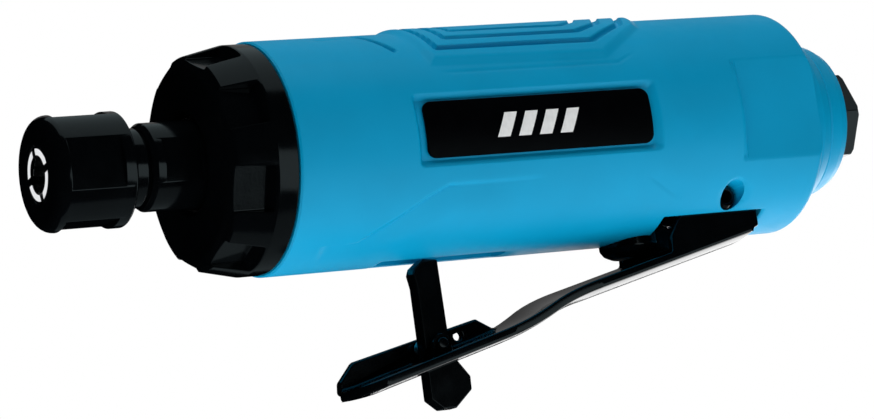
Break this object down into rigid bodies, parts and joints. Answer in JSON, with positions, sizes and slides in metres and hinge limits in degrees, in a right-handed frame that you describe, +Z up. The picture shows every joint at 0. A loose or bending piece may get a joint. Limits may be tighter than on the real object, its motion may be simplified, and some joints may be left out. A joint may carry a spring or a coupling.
{
  "type": "pneumatic die grinder",
  "caption": "Straight air die grinder with a collet chuck, black front cap, blue grip sleeve, hanging throttle lever with safety pawl, and rear air inlet.",
  "frame": {"origin": "middle of the whole tool's box at rest", "axes": "+X along the spindle from the collet to the air inlet, +Z up, the lever hangs towards -Z"},
  "size_m": [0.17, 0.043, 0.0712],
  "materials": {
    "blue_shell": "satin moulded plastic",
    "black_cap": "glossy",
    "black_steel": "glossy black finish",
    "chrome": "polished",
    "steel": "ground",
    "aluminium": "machined",
    "brass": "turned",
    "rubber": "matte",
    "felt": "felt",
    "vane_fibre": "matte",
    "label": "glossy"
  },
  "bodies": {
    "housing": {"grip_sleeve": "blue_shell", "front_cap": "black_cap", "motor_housing": "aluminium", "front_end_plate": "steel", "cylinder": "steel", "rear_end_plate": "steel", "locating_pin": "steel", "front_bearing_outer_ring": "steel", "rear_bearing_outer_ring": "steel", "dust_seal": "felt", "label_plate_left": "label", "label_plate_right": "label", "lever_pin": "black_steel", "valve_bushing": "brass", "valve_spring": "steel", "muffler_felt": "felt", "inlet_bushing": "black_steel", "inlet_o_ring": "rubber", "inlet_screen": "brass"},
    "rotor": {"spindle": "black_steel", "rotor": "steel", "vane_1": "vane_fibre", "vane_2": "vane_fibre", "vane_3": "vane_fibre", "vane_4": "vane_fibre", "vane_5": "vane_fibre", "bearing_spacer": "steel", "front_bearing_inner_ring": "steel", "rear_bearing_inner_ring": "steel"},
    "front_ball_cage": {"front_bearing_ball_cage": "steel"},
    "rear_ball_cage": {"rear_bearing_ball_cage": "steel"},
    "collet": {"collet": "chrome"},
    "collet_nut": {"collet_nut": "black_steel"},
    "throttle_lever": {"throttle_lever": "black_steel", "pawl_pin": "black_steel", "pawl_spring": "steel"},
    "safety_pawl": {"safety_pawl": "black_steel"},
    "valve": {"valve_button": "black_cap", "valve_o_ring": "rubber"},
    "exhaust_deflector": {"exhaust_deflector": "blue_shell"}
  },
  "joints": [
    {"name": "spindle_spin", "type": "hinge", "parent": "housing", "child": "rotor", "pos_m": [0, 0, 0.01335], "axis": [1, 0, 0], "continuous": true},
    {"name": "front_cage_orbit", "type": "hinge", "parent": "housing", "child": "front_ball_cage", "pos_m": [0, 0, 0.01335], "axis": [1, 0, 0], "continuous": true},
    {"name": "rear_cage_orbit", "type": "hinge", "parent": "housing", "child": "rear_ball_cage", "pos_m": [0, 0, 0.01335], "axis": [1, 0, 0], "continuous": true},
    {"name": "collet_slide", "type": "slide", "parent": "rotor", "child": "collet", "axis": [-1, 0, 0], "range_m": [0, 0.003]},
    {"name": "nut_turn", "type": "hinge", "parent": "collet", "child": "collet_nut", "pos_m": [0, 0, 0.01335], "axis": [-1, 0, 0], "range_deg": [0, 1080]},
    {"name": "lever_pivot", "type": "hinge", "parent": "housing", "child": "throttle_lever", "pos_m": [0.04895, 0, -0.00205], "axis": [0, 1, 0], "range_deg": [0, 10], "stiffness_Nm_per_rad": 0.6, "springref_deg": -17.19},
    {"name": "pawl_turn", "type": "hinge", "parent": "throttle_lever", "child": "safety_pawl", "pos_m": [-0.01135, 0, -0.02365], "axis": [0, 1, 0], "range_deg": [0, 66], "deforming": ["pawl_spring"]},
    {"name": "valve_slide", "type": "slide", "parent": "housing", "child": "valve", "axis": [0, 0, 1], "range_m": [0, 0.0028], "deforming": ["valve_spring"]},
    {"name": "deflector_turn", "type": "hinge", "parent": "housing", "child": "exhaust_deflector", "pos_m": [0, 0, 0.01335], "axis": [1, 0, 0], "continuous": true}
  ],
  "couplings": [
    {"joint": "front_cage_orbit", "follows": "spindle_spin", "ratio": 0.42},
    {"joint": "rear_cage_orbit", "follows": "spindle_spin", "ratio": 0.42},
    {"joint": "collet_slide", "follows": "nut_turn", "m_per_rad": 0.000159},
    {"joint": "pawl_turn", "follows": "lever_pivot", "ratio": 6.6},
    {"joint": "valve_slide", "follows": "lever_pivot", "m_per_rad": 0.0157}
  ]
}
